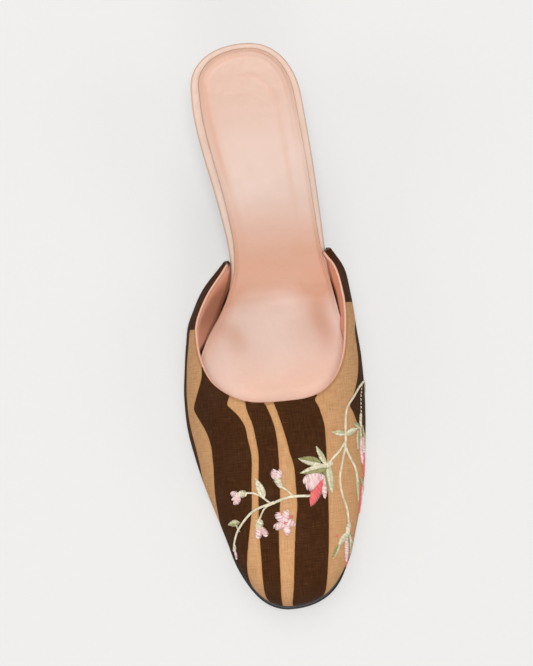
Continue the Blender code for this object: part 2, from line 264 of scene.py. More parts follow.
def body(lateral, along, rise, swell):
    """Points (across, along, lift) on the surface that lies swell outside the last."""
    to_toe = INSOLE_LENGTH + swell - along
    plan = by_side(lateral, lambda side: round_end(to_toe, TOE_ROUND[side] + swell))
    widest = (sided(BODY, lateral, along) + swell) * plan
    foot = (sided(BOTTOM, lateral, along) + swell) * plan
    height = (smooth(BODY, "ridge", along) + swell) * round_end(to_toe, TOE_CROWN + swell)
    turn = np.radians(rise)
    out = widest * np.maximum(np.cos(turn), 0.0) ** (2 / SHOULDER)
    up = height * np.sin(turn) ** (2 / SHOULDER)
    tuck_height = mix(TUCK_HEIGHT["wing"], TUCK_HEIGHT["vamp"], ramp(along, 98, 125))
    tuck_height = np.minimum(tuck_height, 0.5 * height)
    tuck = (widest - foot) * np.maximum(0.0, 1 - up / np.maximum(tuck_height, 1e-6)) ** 2
    lean_reach = mix(LEAN_REACH["tip"], LEAN_REACH["side"], ramp(along, 90, 102))
    drawn_in = sided(WING_LEAN, lateral, along) * ease((up - LEAN_FOOT) / lean_reach)
    lean = RIDGE_ACROSS * plan * np.sin(turn) ** 2
    across = np.where(lateral, 1, -1) * (out - tuck - drawn_in) + lean
    return stacked(across, along, underside(along) + up)


def world(points):
    """Metres in the frame, from (across, along, lift) in millimetres."""
    points = np.asarray(points, float)
    x = ORIGIN_X + points[..., 0] * MM
    y = ORIGIN_Y - points[..., 1] * MM
    return stacked(x, y, points[..., 2] * MM)


def stacked(*values):
    """Points or pairs, from an array or one number for each of their coordinates."""
    return np.stack(np.broadcast_arrays(*values), -1)


def run_length(points):
    """Distance of each point in a row from the first, along the row."""
    gaps = np.linalg.norm(np.diff(points, axis=-2), axis=-1)
    return np.concatenate([np.zeros_like(gaps[..., :1]), np.cumsum(gaps, axis=-1)], axis=-1)


def unit(vectors):
    return vectors / np.maximum(np.linalg.norm(vectors, axis=-1, keepdims=True), 1e-9)


def turned_out(normals, points):
    """Normals that point away from a line which runs inside the upper."""
    outward = points - stacked(0.0, points[:, 1], INSIDE_LIFT)
    return normals * np.sign((normals * outward).sum(-1, keepdims=True))


# --- Materials ---


class Shader:
    """A material under construction, with short calls for the nodes that this file uses."""

    def __init__(self, name, specular, **fixed):
        self.material = bpy.data.materials.new(name)
        self.material.use_nodes = True
        self.tree = self.material.node_tree
        self.surface = self.tree.nodes["Principled BSDF"]
        self.set("Specular IOR Level", specular)
        for socket, value in fixed.items():
            self.set(socket.replace("_", " "), value)

    def node(self, kind, inputs=None, **settings):
        made = self.tree.nodes.new("ShaderNode" + kind)
        for key, value in settings.items():
            setattr(made, key, value)
        for key, value in (inputs or {}).items():
            self.feed(made.inputs[key], value)
        return made

    def feed(self, socket, value):
        if isinstance(value, bpy.types.NodeSocket):
            self.tree.links.new(value, socket)
        elif isinstance(value, tuple) and len(value) == 3 and socket.type == "RGBA":
            socket.default_value = (*value, 1)
        else:
            socket.default_value = value

    def set(self, socket, value):
        self.feed(self.surface.inputs[socket], value)

    def finish(self, colour, roughness, normal=None):
        """Feeds the surface, and returns the material."""
        self.set("Base Color", colour)
        self.set("Roughness", roughness)
        if normal is not None:
            self.set("Normal", normal)
        return self.material

    def math(self, operation, a, b=0.0, c=0.0):
        return self.node("Math", {0: a, 1: b, 2: c}, operation=operation).outputs[0]

    def times(self, a, b):
        return self.math("MULTIPLY", a, b)

    def scaled(self, value, factor, shift):
        return self.math("MULTIPLY_ADD", value, factor, shift)

    def attribute(self, name):
        return self.node("Attribute", attribute_name=name).outputs["Fac"]

    def place(self):
        return self.node("TexCoord").outputs["Object"]

    def map_axes(self, name):
        split = self.node("SeparateXYZ", {0: self.node("UVMap", uv_map=name).outputs[0]})
        return split.outputs[0], split.outputs[1]

    def join(self, x, y, z=0.0):
        return self.node("CombineXYZ", {0: x, 1: y, 2: z}).outputs[0]

    def noise(self, vector, scale, detail=2.0, roughness=0.5):
        inputs = {"Vector": vector, "Scale": scale, "Detail": detail, "Roughness": roughness}
        return self.node("TexNoise", inputs).outputs["Fac"]

    def cells(self, vector, scale):
        return self.node("TexVoronoi", {"Vector": vector, "Scale": scale}).outputs["Distance"]

    def band(self, value, low, high):
        """0 below low, 1 above high, and smooth between them."""
        inputs = {"Value": value, "From Min": low, "From Max": high}
        return self.node("MapRange", inputs, interpolation_type="SMOOTHSTEP").outputs[0]

    def mix(self, share, a, b):
        made = self.node("Mix", data_type="RGBA")
        for socket, value in ((0, share), (6, a), (7, b)):
            self.feed(made.inputs[socket], value)
        return made.outputs[2]

    def bump(self, height, depth, under=None):
        """A bump this many metres deep, on top of another one."""
        inputs = {"Height": height, "Distance": depth, "Strength": 1.0}
        if under is not None:
            inputs["Normal"] = under
        return self.node("Bump", inputs).outputs[0]


YARN = 0.56  # pitch of the plain weave
SLUB_PITCH = 1.7
BLEED = 0.16  # softness of a stripe's border
TAN = ((0.465, 0.232, 0.098), (0.635, 0.365, 0.180))
TAN_WARM = (0.52, 0.25, 0.092)
# Painted shade: darker tan on the rolled topline, damping the highlight of the roll.
TAN_FOLD_PAINTED_SHADE = (0.25, 0.115, 0.045)
BROWN = ((0.031, 0.0098, 0.0022), (0.068, 0.0238, 0.0070))
BROWN_FLECK = (0.13, 0.062, 0.030)
RUBBED = (0.30, 0.19, 0.12)


def canvas_material(name, printed, slub_run):
    """Plain-weave canvas with slubs, tan with dark stripes where it is printed.

    slub_run is how fast a slub changes along its own yarn, so a small one makes long slubs.
    """
    s = Shader(name, 0.08)
    around, forward = s.map_axes("weave")
    flat = s.join(around, forward)
    wander = s.times(s.noise(flat, 0.8, 3.0), 0.5)

    def yarns(place):
        return s.math("SINE", s.times(s.math("ADD", place, wander), 2 * math.pi / YARN))

    def slubs(by_around, by_forward, shift):
        place = s.join(s.times(around, by_around), s.times(forward, by_forward), shift)
        return s.noise(place, 1.0, 3.0)

    weave = s.scaled(s.times(yarns(around), yarns(forward)), 0.5, 0.5)
    across_slub, down_slub = slubs(slub_run, SLUB_PITCH, 0.0), slubs(SLUB_PITCH, slub_run, 7.0)
    slub = s.times(s.math("ADD", across_slub, down_slub), 0.5)
    yarn = s.band(s.scaled(weave, 0.16, slub), 0.34, 0.78)
    fleck = s.band(s.times(across_slub, down_slub), 0.36, 0.46)
    colour = s.mix(s.times(fleck, 0.6), s.mix(yarn, *BROWN), BROWN_FLECK)
    if printed:
        stripe = s.attribute("stripe")
        soft = s.scaled(s.math("SUBTRACT", slub, 0.5), 0.9, stripe)
        beside = s.times(s.band(stripe, -1.6, -0.1), 0.55)
        tan = s.mix(beside, s.mix(yarn, *TAN), TAN_WARM)
        # painted shade on the tan along the rolled topline
        tan = s.mix(s.times(s.attribute("painted_fold_shade"), 0.55), tan, TAN_FOLD_PAINTED_SHADE)
        colour = s.mix(s.band(soft, -BLEED, BLEED), tan, colour)
    worn = s.times(s.band(s.noise(flat, 0.06, 3.0), 0.4, 0.8), 0.03)
    relief = s.bump(s.scaled(weave, 0.6, slub), 0.00012)
    return s.finish(s.mix(worn, colour, RUBBED), s.scaled(slub, 0.16, 0.76), relief)


# Dyed leathers: the two colours of the skin, and the tint for each value on the mesh that colours it. Some
# tints are worn leather, and some are painted light and painted shade.
LEATHERS = {
    "lining_leather": (
        ((0.72, 0.44, 0.34), (0.78, 0.50, 0.40)),
        {
            "wear_and_painted_shade": (0.91, 0.40, 0.24),
            # painted shade
            "painted_shade": (0.20, 0.064, 0.028),
            "turned": BROWN[1],
            "edge": (0.64, 0.325, 0.22),
        },
    ),
    "sock_leather": (
        ((0.665, 0.48, 0.405), (0.695, 0.515, 0.445)),
        {
            # painted light: paler over the ball, against the shade of the upper
            "painted_light_ball": (0.775, 0.60, 0.515),
            # painted light: brighter peach towards the toe and near the sock's edge from the ball forward
            "painted_peach_light": (0.83, 0.59, 0.465),
            # painted highlights
            "painted_highlight": (0.85, 0.68, 0.615),
            # painted shade over the seat
            "painted_shade": (0.57, 0.362, 0.28),
            # partly worn leather, partly painted shade in lines, creases and on the steep shank
            "wear_and_painted_shade": (0.605, 0.33, 0.225),
            # the sock's cut edge, partly its own colour and partly painted shade, stronger on the medial side
            "edge": (0.43, 0.26, 0.155),
        },
    ),
    "rand_leather": (((0.64, 0.48, 0.40), (0.70, 0.54, 0.455)), {"wear_and_painted_shade": (0.54, 0.33, 0.24)}),
}


def leather_material(name):
    """Smooth dyed leather with a fine grain, tinted by values on the mesh: marks of use, painted light and
    painted shade.
    """
    s = Shader(name, 0.5)
    colours, tint_colours = LEATHERS[name]
    place = s.place()
    cloud = s.band(s.noise(place, 55.0, 4.0), 0.3, 0.7)
    colour = s.mix(cloud, *colours)
    for value, tint_colour in tint_colours.items():
        colour = s.mix(s.attribute(value), colour, tint_colour)
    soft = s.bump(s.noise(place, 210.0, 3.0), 0.00022)
    grain = s.scaled(s.cells(place, 1500.0), 0.5, s.noise(place, 2600.0))
    return s.finish(colour, s.scaled(s.noise(place, 140.0, 3.0), 0.16, 0.36), s.bump(grain, 0.00003, soft))


def sole_material():
    """Black sole leather, scuffed a little greyer underneath."""
    s = Shader("sole_leather", 0.3)
    place = s.place()
    scuff = s.band(s.noise(place, 90.0, 5.0, 0.65), 0.5, 0.8)
    scuffed = s.times(scuff, s.attribute("tread"))
    colour = s.mix(scuffed, (0.013, 0.012, 0.0115), (0.10, 0.09, 0.08))
    return s.finish(colour, s.scaled(scuff, 0.25, 0.42), s.bump(s.noise(place, 1100.0, 3.0), 0.00006))


def rubber_material():
    """Black moulded rubber with a faint pebble and dusty patches."""
    s = Shader("tip_rubber", 0.4)
    place = s.place()
    dust = s.band(s.noise(place, 160.0, 4.0), 0.45, 0.8)
    colour = s.mix(s.times(dust, 0.5), (0.014, 0.013, 0.0125), (0.05, 0.047, 0.043))
    return s.finish(colour, s.scaled(dust, 0.2, 0.55), s.bump(s.cells(place, 1900.0), 0.00008))


PLY_PITCH = 0.9  # along a thread, from one of its two plies to the next


def thread_material(name, dark, light):
    """Twisted cotton thread. Each strand has its own shade."""
    s = Shader(name, 0.4, Sheen_Weight=0.25, Sheen_Roughness=0.4)
    length, turn = s.map_axes("strand")
    twist = s.scaled(length, 2 * math.pi / PLY_PITCH, s.times(turn, 4 * math.pi))
    ply = s.scaled(s.math("SINE", twist), 0.5, 0.5)
    shade = s.scaled(ply, 0.2, s.times(s.attribute("shade"), 0.9))
    return s.finish(s.mix(shade, dark, light), s.scaled(ply, -0.1, 0.58), s.bump(ply, 0.00006))


def floor_material():
    """White paper on a light table, so that shadows on it stay faint."""
    s = Shader("floor_paper", 0.2, Emission_Strength=0.42)
    s.set("Emission Color", (1.0, 0.99, 0.975))
    place = s.place()
    colour = s.mix(s.noise(place, 400.0, 3.0), (0.345, 0.342, 0.336), (0.36, 0.357, 0.351))
    return s.finish(colour, s.scaled(s.noise(place, 60.0), 0.1, 0.8))


# --- Meshes ---


def add_object(name, data):
    made = bpy.data.objects.new(name, data)
    bpy.context.scene.collection.objects.link(made)
    return made


def make_piece(name, points, faces, material, node, values=None, maps=None):
    """A piece that stands for a node: a smooth mesh with its values and maps, riding on the body."""
    mesh = bpy.data.meshes.new(name)
    mesh.from_pydata(world(points).tolist(), [], faces)
    mesh.shade_smooth()
    mesh.materials.append(material)
    for key, value in (values or {}).items():
        mesh.attributes.new(key, "FLOAT", "POINT").data.foreach_set("value", np.asarray(value, np.float32))
    corner = np.empty(len(mesh.loops), int)
    mesh.loops.foreach_get("vertex_index", corner)
    for key, value in (maps or {}).items():
        at_corner = value if len(value) == len(corner) else value[corner]
        mesh.uv_layers.new(name=key).uv.foreach_set("vector", at_corner.astype(np.float32).ravel())
    made = add_object(name, mesh)
    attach(made, "root")
    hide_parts(node)
    return made


def grid_faces(rows):
    """Quads between rows of point numbers."""
    faces = []
    for near, far in zip(rows, rows[1:]):
        for c in range(len(near) - 1):
            faces.append((near[c], far[c], far[c + 1], near[c + 1]))
    return faces


def ring_faces(rings):
    """Quads between closed rings of point numbers, from the lowest ring up."""
    faces = []
    for under, over in zip(rings, rings[1:]):
        for i in range(len(under)):
            after = (i + 1) % len(under)
            faces.append((over[i], over[after], under[after], under[i]))
    return faces


# --- Upper ---

COLUMNS = 120  # of the shell, on each side of the ridge
ROWS = 120
ROLL_STEPS = 8
ROLL_ROOM = 0.15  # between the rolled edge and the skins that start behind it
LEAST_SLANT, MOST_INSET = 0.2, 3.0  # limits of that room where the topline runs nearly forward
FOOT_TUCK = 0.1  # the lining's foot lies this far inside the last where the wings aren't open
# Where the wings open, where they close towards the vamp, and where the lining stops running straight
OPENING, CLOSING, SLANT_END = (99, 109), (108, 120), (142, 122)
ARC_STEPS = 28


def around_of(lateral, along, rise):
    """Distance round the section from the ridge, on the outer skin."""
    steps = mix(rise[:, None], 90.0, np.linspace(0, 1, ARC_STEPS + 1))
    length = run_length(body(lateral[:, None], along[:, None], steps, SKIN))[:, -1]
    return np.where(lateral, length, -length)


def forward_of(along):
    """Distance along the ridge, so that the weave keeps its size where the vamp slopes."""
    stations = np.linspace(BODY["along"][0], INSOLE_LENGTH + SKIN, 400)
    return np.interp(along, stations, run_length(body(True, stations, 90.0, SKIN)))


def border(name, along):
    *others, last = BORDERS[name]
    around = curve(*last, along)
    for alongs, arounds in others:
        around = np.where(along < alongs[-1], curve(alongs, arounds, along), around)
    return around


def stripe_depth(along, around):
    """How far inside a dark stripe a point lies. It is negative on the tan ground."""
    depth = around - border("lateral_wall", along)
    depth = np.maximum(depth, border("medial_wall", along) - around)
    for stripe in ("first", "second", "third"):
        medial, lateral = border(stripe + "_medial", along), border(stripe + "_lateral", along)
        depth = np.maximum(depth, np.minimum(around - medial, lateral - around))
    on_wing = np.where(around > 0, WING_BROWN["lateral"], WING_BROWN["medial"]) - along
    return np.maximum(depth, on_wing)


def canvas_floor(rise):
    """Swell of the canvas's inner face."""
    return mix(CANVAS_FLOOR["wing"], CANVAS_FLOOR["throat"], ramp(rise, 45, 70))


def shell(low, high, overhang):
    """A closed shell of the upper between two swells, with a rolled edge at the topline.

    low(rise) and high(rise) give the swells. overhang moves the roll back, except at the wing tips. Returns
    the points and faces, and the along, rise and side of each point.
    """
    share = np.linspace(0, 1, 2 * COLUMNS + 1)
    half = (1 - abs(2 * share - 1)) * (len(COLLAR["rise"]) - 1)
    rise = np.interp(half, range(len(COLLAR["rise"])), COLLAR["rise"])
    low, high = (np.broadcast_to(swell(rise), rise.shape) for swell in (low, high))
    lateral = share < 0.5
    start = sided(COLLAR, lateral, rise)
    middle, radius = (low + high) / 2, (high - low) / 2

    edge = body(lateral, start, rise, middle)
    forward = unit(body(lateral, start + 0.5, rise, middle) - edge)
    line = unit(np.gradient(edge, axis=0))
    out = turned_out(unit(np.cross(line, forward)), edge)
    back = np.cross(out, line)
    back *= -np.sign((back * forward).sum(-1, keepdims=True))
    slant = np.linalg.norm(np.cross(line, forward), axis=-1)
    inset = np.minimum((1.5 * radius + ROLL_ROOM) / np.maximum(slant, LEAST_SLANT), MOST_INSET)

    rows, alongs = [], []

    def skin(swell, order):
        for r in order:
            along = mix(start + inset, INSOLE_LENGTH + swell, math.sin(math.pi / 2 * r / (ROWS + 1)))
            rows.append(body(lateral, along, rise, swell))
            alongs.append(along)

    skin(high, range(ROWS, -1, -1))
    hub = edge + back * (overhang * ramp(rise, 0, 8) - radius)[:, None]
    radius = radius[:, None]
    for k in range(ROLL_STEPS + 1):
        turn = math.pi * (0.5 - k / ROLL_STEPS)
        rows.append(hub + radius * (math.sin(turn) * out + math.cos(turn) * back))
        alongs.append(start)
    skin(low, range(ROWS + 1))

    tips = INSOLE_LENGTH + np.array([high[COLUMNS], low[COLUMNS]])
    points = np.concatenate([*rows, stacked(0.0, tips, underside(tips))])
    outer_tip, inner_tip = len(points) - 2, len(points) - 1
    numbers = np.arange(len(points) - 2).reshape(len(rows), -1).tolist()
    faces = grid_faces(numbers)
    for c in range(2 * COLUMNS):
        faces.append((numbers[0][c], numbers[0][c + 1], outer_tip))
        faces.append((numbers[-1][c], inner_tip, numbers[-1][c + 1]))
    for c in (0, 2 * COLUMNS):
        outer = [outer_tip, *(row[c] for row in numbers[: ROWS + 1])]
        inner = [inner_tip, *(row[c] for row in numbers[: -ROWS - 2 : -1])]
        roll = [row[c] for row in numbers[ROWS + ROLL_STEPS + 1 : ROWS : -1]]
        side = [(inner[k], inner[k + 1], outer[k + 1], outer[k]) for k in range(ROWS + 1)]
        side.append((outer[-1], inner[-1], *roll))
        faces += side if c == 0 else [face[::-1] for face in side]
    rise = np.concatenate([np.tile(rise, len(rows)), [90.0, 90.0]])
    lateral = np.concatenate([np.tile(lateral, len(rows)), [False, False]])
    return points, faces, np.concatenate([*alongs, tips]), rise, lateral


def make_upper():
    points, faces, along, rise, lateral = shell(canvas_floor, lambda rise: SKIN, 0.0)
    around = around_of(lateral, along, rise)
    behind = along - sided(COLLAR, lateral, rise)
    # painted shade on the canvas over its last 1.6 mm before the topline
    values = {"stripe": stripe_depth(along, around), "painted_fold_shade": ramp(behind, 1.6, 0)}
    maps = {"weave": stacked(around, forward_of(along))}
    material = canvas_material("printed_canvas", printed=True, slub_run=0.16)
    make_piece("upper_canvas", points, faces, material, "upper", values, maps)


def slant_lining(points, along, rise, lateral):
    """Moves the points of the wings in, so that the lining runs straight from the topline to the sock.

    Returns how far down this slope each point lies, from 0 to 1.
    """
    wall = body(lateral, along, rise, GAP)
    across, up = abs(wall[:, 0]), wall[:, 2] - underside(along)
    low = np.zeros(len(points))
    open_here = ramp(along, *OPENING) * (1 - 0.85 * ramp(along, *CLOSING))
    rises = np.linspace(0, 60, 121)
    for side, here in (("lateral", lateral), ("medial", ~lateral)):
        start = smooth(COLLAR, side, rises)
        rim = body(side == "lateral", start, rises, GAP)
        rim_across = np.interp(along, start, abs(rim[:, 0]))
        rim_up = np.interp(along, start, rim[:, 2] - underside(start))
        foot = smooth(BOTTOM, side, along) + mix(-FOOT_TUCK, GAP + CREVICE[side], open_here)
        share = np.clip((rim_up - up) / np.maximum(rim_up - INSOLE_THICK, 1), 0, 1)
        excess = np.maximum(across - mix(rim_across, np.minimum(foot, rim_across), share), 0)
        points[:, 0] -= np.sign(points[:, 0]) * excess * ramp(along, *SLANT_END) * here
        low = np.where(here, share, low)
    return low


def make_lining():
    points, faces, along, rise, lateral = shell(
        lambda rise: GAP, lambda rise: canvas_floor(rise) - PLY_GAP, LINING_OVERHANG
    )
    low = slant_lining(points, along, rise, lateral)
    behind = along - sided(COLLAR, lateral, rise)
    # Painted shade on the lining: darker behind the topline on the medial side, and at the foot of the wings
    # where they meet the sock.
    shaded = ramp(behind, 0, 12) * ~lateral * mix(0.75, 0.15, ramp(along, 112, 128))
    at_foot = ramp(low, 0.6, 0.8) * np.where(lateral, 0.5, 0.9)
    turned = ramp(behind, 1.8, 0.8) * ramp(rise, 11, 7)
    values = {
        "wear_and_painted_shade": ramp(behind, -0.3, np.where(lateral, 1.2, 4.7)) * ramp(rise, 60, 30),
        "painted_shade": np.maximum(at_foot, shaded) * ramp(rise, 50, 30),
        "turned": turned,
        "edge": 0.9 * ramp(behind, 0.6, -0.2) * (1 - turned),
    }
    make_piece("upper_lining", points, faces, leather_material("lining_leather"), "upper", values)


# --- Sole ---


def plate(outline, low, high, span, grid, rim, round_back=True):
    """A thin plate with a rounded rim, from low to high over the insole's underside.

    grid is (rows, columns). rim lists (swell, height share) from the lower face to the upper one. Rows stand
    closer towards a round end, which the front is, and the back too unless round_back says no. Returns the
    points, the faces and each point's height share.
    """
    count, columns = grid
    points, shares, numbers = [], [], []
    total = 0

    def stations(start, end):
        share = mix(0.4 if round_back else 0, count - 0.4, np.linspace(0, 1, count + 1)) / count
        if round_back:
            return mix(start, end, (1 - np.cos(math.pi * share)) / 2)
        return mix(start, end, np.sin(math.pi / 2 * share))

    for swell, height in rim:
        along = stations(span[0] - swell, span[1] + swell)[:, None]
        left, right = outline("medial", along, swell), outline("lateral", along, swell)
        across = mix(-left, right, np.linspace(0, 1, columns + 1))
        lift = mix(sole_level(along, across, low), sole_level(along, across, high), height)
        keep = np.ones(across.shape, bool)
        keep[1:-1, 1:-1] = height in (0.0, 1.0)
        number = np.full(across.shape, -1)
        number[keep] = total + np.arange(keep.sum())
        total += int(keep.sum())
        points.append(stacked(across, along, lift)[keep])
        shares.append(np.full(keep.sum(), height))
        numbers.append(number)

    def loop(number):
        return [*number[0], *number[1:-1, -1], *number[-1][::-1], *number[-2:0:-1, 0]]

    faces = [face[::-1] for face in grid_faces(numbers[0].tolist())] + grid_faces(numbers[-1].tolist())
    faces += ring_faces([[int(i) for i in loop(number)] for number in numbers])
    return np.concatenate(points), faces, np.concatenate(shares)


RIM_SHARE = 0.32  # of a plate's height, for each rounded corner of its rim


def rounded_rim(radius, steps=3):
    """(swell, height share) round a rim whose upper and lower corners reach this far in."""
    rim = []
    for k in range(steps + 1):
        turn = math.pi / 2 * k / steps
        rim.append((-radius * (1 - math.sin(turn)), RIM_SHARE * (1 - math.cos(turn))))
    return rim + [(swell, 1 - height) for swell, height in rim[::-1]]


def sock_outline(side, along, swell):
    return half_width(side, along, swell - smooth(INSOLE_MARGIN, side, along))


BATCH = 4000  # points that are measured at one time


def inset_of(points, outline, start, end):
    """How far each point lies inside an outline, measured to the nearest point of it."""
    stations = mix(start, end, (1 - np.cos(math.pi * np.linspace(0.001, 0.999, 500))) / 2)
    halves = (-outline("medial", stations, 0), outline("lateral", stations, 0))
    ring = np.concatenate([stacked(half, stations) for half in halves])
    nearest = np.empty(len(points))
    for k in range(0, len(points), BATCH):
        apart = points[k : k + BATCH, None, :2] - ring[None]
        nearest[k : k + BATCH] = np.sqrt((apart**2).sum(-1).min(1))
    return nearest


# Darker marks on the sock beside the wings, partly marks of the foot and partly painted shade of the wings:
# across, along, reach across, reach along and strength.
FOOT_MARKS_AND_SHADE = (
    (25, 120.5, 7.5, 19, 0.5),
    (22, 116, 14, 26, 0.33),
    (-14, 125, 8, 9, 0.3),
    (-18, 121, 11, 16, 0.3),
    (22, 98, 9, 16, 0.5),
    (-14, 104, 9, 14, 0.3),
)
# Painted highlights: paler marks where the gloss catches the light, in the same terms.
PAINTED_HIGHLIGHTS = (
    (-17, 113, 9, 9, 0.8),
    (9, 109, 17, 8, 0.7),
    (31, 121, 6, 13, 0.8),
    (-20, 141, 12, 14, 0.5),
    (4, 132, 14, 16, 0.4),
)
# Creases across the ball: along, reach, depth and tilt.
CREASES = (
    (104, 3.4, 0.07, 0.05),
    (109, 2.8, 0.09, -0.04),
    (114, 3.6, 0.06, 0.03),
)


def inner(across):
    """1 on the medial side of the sock and 0 on the lateral one."""
    return ramp(across, 6, -8)


def marks(table, across, along):
    """The sum of a table's marks, on a slightly wavy grid."""
    across, along = across + 1.3 * np.sin(along / 4.3), along + 1.6 * np.sin(across / 3.1 + along / 9.0)
    return sum(
        share * bell(across, side, wide) * bell(along, middle, long)
        for side, middle, wide, long, share in table
    )


def sock_relief(points, inset):
    """Height to add to the sock: heel pad, sunken lines and soft creases. Also a tint that is partly worn
    leather and partly painted shade: in those lines and creases, over the steep shank and beside the wings.
    """
    across, along = points[:, 0], points[:, 1]
    medial = inner(across)
    pad = ramp(inset, 1.9, 4.1) * ramp(along, 74, 44)
    step = ramp(inset, 1.7, 2.7) * ramp(along, 84, 44) * medial
    outer_line = bell(inset, 3.1, 2.0) * ramp(along, 72, 42) * mix(0.12, 0.5, medial)
    inner_inset = mix(8.2, 12.2, ramp(along, 26, 12))
    inner_line = 0.6 * bell(inset, inner_inset, 2.4) * ramp(along, 86, 56) * ramp(across, -12, 2)
    crease = np.zeros(len(points))
    for middle, width, depth, tilt in CREASES:
        wave = middle + tilt * across + 0.7 * np.sin(across / 5.0 + middle)
        crease += depth * bell(along, wave, width)
    skive = SKIVE * ramp(inset, 2.2, 0)
    waves = np.sin(across / 4.1 + along / 7.3) * np.sin(along / 5.6 - across / 9.2 + 0.8)
    waves *= ramp(along, 98, 114) * ramp(inset, 1, 6)
    relief = 0.35 * pad + 0.15 * step - 0.2 * outer_line - 0.12 * inner_line + 0.14 * waves
    relief -= crease * ramp(inset, 1, 5) + skive
    # painted shade: darker over the steep shank, in the creases and in the pad's lines
    steep = ramp(along, 58, 94) * ramp(along, 117, 98)
    # partly marks of the foot, partly painted shade beside the wings
    foot_marks_and_shade = marks(FOOT_MARKS_AND_SHADE, across, along)
    edge = bell(inset, 0, 7) * bell(along, 116, 18) * medial
    beside = bell(inset, 3.6, 4.0) * ramp(along, 95, 65) * medial * 0.3
    # a tint that is partly worn leather and partly painted shade
    wear_and_painted_shade = 0.8 * outer_line + 0.45 * inner_line + 1.0 * steep + foot_marks_and_shade + 0.6 * edge + crease + beside
    return relief, np.clip(wear_and_painted_shade, 0, 1)


# Rows and columns of the plates
SOCK_GRID = (330, 96)
INSOLE_GRID = (260, 48)
OUTSOLE_GRID = (220, 48)


def make_sock():
    span = (INSOLE_MARGIN["medial"][0], INSOLE_LENGTH - INSOLE_MARGIN["medial"][-1])
    low, high = INSOLE_THICK + SEAM, INSOLE_THICK + GAP + SOCK_THICK
    points, faces, share = plate(sock_outline, low, high, span, SOCK_GRID, rounded_rim(0.35))
    inset = inset_of(points, sock_outline, *span)
    relief, wear_and_painted_shade = sock_relief(points, inset)
    points[:, 2] += relief * ramp(share, 0.9, 1)
    across, along = points[:, 0], points[:, 1]
    values = {
        "wear_and_painted_shade": wear_and_painted_shade,
        # painted shade: darker over the seat, towards the back
        "painted_shade": ramp(along, 56, 12),
        # painted light over the ball and forward
        "painted_light_ball": ramp(along, 102, 122),
        # painted light: brighter peach towards the toe and near the sock's edge from the ball forward
        "painted_peach_light": np.maximum(ramp(along, 128, 150), bell(inset, 0, 9) * ramp(along, 112, 126)),
        # painted highlights on the ball
        "painted_highlight": np.clip(marks(PAINTED_HIGHLIGHTS, across, along), 0, 1),
        # darker line at the sock's edge: partly the cut edge, partly painted shade, stronger on the medial
        # side
        "edge": ramp(inset, 0.9, 0.1) * mix(mix(0.4, 0.8, inner(across)), 0.1, ramp(along, 88, 100)),
    }
    made = make_piece("sock_leather", points, faces, leather_material("sock_leather"), "sock", values)


def make_insole():
    span = (0, INSOLE_LENGTH)
    points, faces, _ = plate(half_width, 0, INSOLE_THICK, span, INSOLE_GRID, rounded_rim(1.1, 5))
    inset = inset_of(points, half_width, *span)
    wear_and_painted_shade = np.maximum(0.85 * ramp(inset, 0.95, 0.25), 0.4 * ramp(points[:, 1], 80, 20))
    make_piece("insole_rand", points, faces, leather_material("rand_leather"), "insole", {"wear_and_painted_shade": wear_and_painted_shade})


def outsole_outline(side, along, swell):
    welt = mix(WELT["waist"], WELT["ball"], ramp(along, 90, 114))
    welt = mix(welt, WELT["toe"], ramp(along, 205, 230))
    return half_width(side, along, welt + swell)


def make_outsole():
    span = (BREAST, INSOLE_LENGTH + WELT["toe"])
    low, high, rim = -GAP - OUTSOLE_THICK, -SEAM, rounded_rim(0.8)
    points, faces, share = plate(outsole_outline, low, high, span, OUTSOLE_GRID, rim, round_back=False)
    tread = (share < 0.05) * ramp(points[:, 1], 95, 135)
    make_piece("outsole_leather", points, faces, sole_material(), "outsole", {"tread": tread})


# --- Heel ---

HEEL_LOW, HEEL_HIGH = HEEL["lift"][0], HEEL["lift"][-1]
HEEL_MIDDLE = HEEL["front"][-1] / 2
HEEL_RINGS = 90
HEEL_STOPS = 28
BREAST_STEPS = 18
HEEL_FILL = (0.97, 0.7, 0.4, 0.1)  # sizes of the rings that close the top


def heel_ring(lift, trim):
    """One level of the heel as (along, across) rows, going round from the middle of its back."""
    share = (lift - HEEL_LOW) / (HEEL_HIGH - HEEL_LOW)
    back, front = smooth(HEEL, "back", lift) + trim, smooth(HEEL, "front", lift) - trim
    half, hollow = smooth(HEEL, "half", lift) - trim, smooth(HEEL, "hollow", lift)
    seat_half = sum(half_width(side, HEEL_MIDDLE, -HEEL_INSET) for side in ("medial", "lateral"))
    stops = 0.5 - 0.5 * np.cos(math.pi * np.arange(HEEL_STOPS + 1) / HEEL_STOPS)

    def side_points(side, sign):
        tip = round_end(stops, 0.5) * mix(1, 0.9, ramp(stops, 0.5, 1))
        seat = half_width(side, mix(HEEL["back"][-1], HEEL["front"][-1], stops), -HEEL_INSET)
        reach = half * mix(tip, seat / seat_half * 2, ease(share))
        return stacked(mix(back, front, stops), sign * reach)

    lateral, medial = side_points("lateral", 1), side_points("medial", -1)
    k = np.arange(1, BREAST_STEPS) / BREAST_STEPS
    breast = stacked(front - hollow * np.sin(math.pi * k), mix(lateral[-1, 1], medial[-1, 1], k))
    return np.concatenate([lateral, breast, medial[:0:-1]])


def loft(rings):
    """Points and faces of a solid through rings, with its first and last ring as faces."""
    count = len(rings[0])
    numbers = [list(range(k * count, (k + 1) * count)) for k in range(len(rings))]
    return np.concatenate(rings), [numbers[0], *ring_faces(numbers), numbers[-1][::-1]]


def girth_map(rings):
    """(distance round, lift) of each point, in millimetres, for the weave."""
    return np.concatenate([stacked(run_length(ring), ring[:, 2]) for ring in rings])


